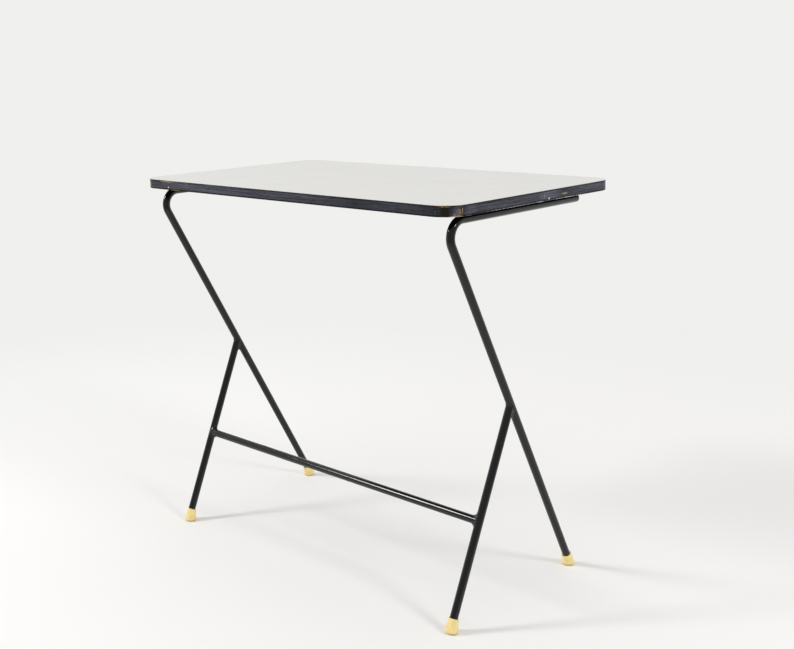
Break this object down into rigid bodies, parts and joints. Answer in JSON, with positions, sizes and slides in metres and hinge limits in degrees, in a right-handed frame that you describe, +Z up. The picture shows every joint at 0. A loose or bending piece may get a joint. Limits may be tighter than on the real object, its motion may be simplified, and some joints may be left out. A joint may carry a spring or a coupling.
{
  "type": "small metal-legged side table",
  "caption": "Low side table with a thin pale laminate top, black edge, two bent black rod side frames, a cross bar and cream rubber feet.",
  "frame": {"origin": "on the floor, under the middle of the top", "axes": "+X along the table to the right as seen from the front, +Y from the front, where the rods bend, to the back, +Z up"},
  "size_m": [0.575, 0.323, 0.522],
  "materials": {
    "pale_grey_laminate": "satin",
    "black_edge_paint": "worn black paint on plywood",
    "black_lacquered_steel": "glossy lacquer",
    "zinc_plated_steel": "dull zinc",
    "cream_rubber": "matte, yellowed"
  },
  "bodies": {
    "root": {"back_left_foot": "cream_rubber", "back_left_screw": "zinc_plated_steel", "back_left_tab": "black_lacquered_steel", "back_left_tab_weld": "black_lacquered_steel", "back_right_foot": "cream_rubber", "back_right_screw": "zinc_plated_steel", "back_right_tab": "black_lacquered_steel", "back_right_tab_weld": "black_lacquered_steel", "cross_bar": "black_lacquered_steel", "front_left_foot": "cream_rubber", "front_left_screw": "zinc_plated_steel", "front_left_tab": "black_lacquered_steel", "front_left_tab_weld": "black_lacquered_steel", "front_right_foot": "cream_rubber", "front_right_screw": "zinc_plated_steel", "front_right_tab": "black_lacquered_steel", "front_right_tab_weld": "black_lacquered_steel", "left_bar_weld": "black_lacquered_steel", "left_leg": "black_lacquered_steel", "left_strut": "black_lacquered_steel", "left_strut_weld": "black_lacquered_steel", "right_bar_weld": "black_lacquered_steel", "right_leg": "black_lacquered_steel", "right_strut": "black_lacquered_steel", "right_strut_weld": "black_lacquered_steel", "top_board": "black_edge_paint", "top_laminate": "pale_grey_laminate"}
  },
  "joints": []
}
